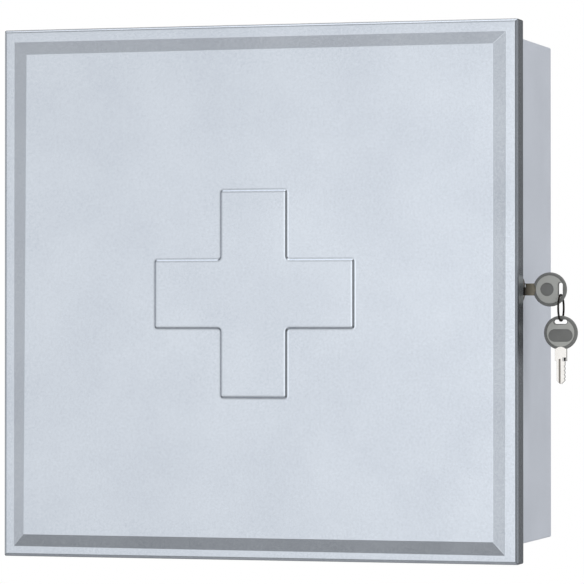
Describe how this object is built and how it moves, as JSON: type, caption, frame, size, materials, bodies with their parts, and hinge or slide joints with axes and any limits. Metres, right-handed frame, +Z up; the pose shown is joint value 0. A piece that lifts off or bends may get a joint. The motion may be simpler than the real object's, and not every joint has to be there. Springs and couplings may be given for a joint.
{
  "type": "lockable medicine cabinet",
  "caption": "Square wall cabinet for medicines, with two shelves, a hinged raised-panel door with an embossed cross, and a side cam lock with a key and a spare on a split ring.",
  "frame": {"origin": "centre of the body's back face, on the wall", "axes": "+X to the lock side, +Y into the wall, +Z up"},
  "size_m": [0.4326, 0.1666, 0.3995],
  "materials": {
    "door_paint": "silver lacquer, satin",
    "body_paint": "silver-grey powder coat, fine texture",
    "zinc_steel": "zinc plated",
    "nickel_plate": "nickel plated, polished",
    "brass": "stamped",
    "rubber": "moulded",
    "bow_plastic": "moulded, satin"
  },
  "bodies": {
    "cabinet": {"cabinet_shell": "body_paint", "back_panel": "body_paint", "shelf_upper": "body_paint", "shelf_lower": "body_paint", "shelf_brackets": "zinc_steel", "hinge_leaf_body_upper": "zinc_steel", "hinge_leaf_body_lower": "zinc_steel", "hinge_pin_upper": "nickel_plate", "hinge_pin_lower": "nickel_plate", "hinge_rivets": "nickel_plate", "lock_housing": "nickel_plate", "lock_nut": "nickel_plate"},
    "door": {"door_skin": "door_paint", "door_liner": "door_paint", "hinge_leaf_door_upper": "zinc_steel", "hinge_leaf_door_lower": "zinc_steel", "hinge_screws": "nickel_plate", "door_buffers": "rubber", "strike_bracket": "zinc_steel", "strike_screws": "nickel_plate"},
    "plug": {"lock_plug": "nickel_plate", "lock_wafers": "brass", "lock_cam": "zinc_steel", "cam_washer": "zinc_steel", "cam_screw": "nickel_plate"},
    "key": {"key_blade": "nickel_plate", "key_bow": "bow_plastic"},
    "ring": {"key_ring": "nickel_plate"},
    "spare_key": {"spare_key_blade": "nickel_plate", "spare_key_bow": "bow_plastic"}
  },
  "joints": [
    {"name": "door_swing", "type": "hinge", "parent": "cabinet", "child": "door", "pos_m": [-0.1929, -0.1414, 0], "axis": [0, 0, -1], "range_deg": [0, 120]},
    {"name": "lock_turn", "type": "hinge", "parent": "cabinet", "child": "plug", "pos_m": [0.189, -0.107, 0.001], "axis": [-1, 0, 0], "range_deg": [0, 90]},
    {"name": "key_pull", "type": "slide", "parent": "plug", "child": "key", "axis": [1, 0, 0], "range_m": [0, 0.025]},
    {"name": "ring_swing", "type": "hinge", "parent": "key", "child": "ring", "pos_m": [0.2199, -0.107, -0.00635], "axis": [1, 0, 0], "range_deg": [-90, 90]},
    {"name": "spare_key_swing", "type": "hinge", "parent": "ring", "child": "spare_key", "pos_m": [0.2199, -0.107, -0.02241], "axis": [0, 1, 0], "range_deg": [-60, 20]}
  ]
}
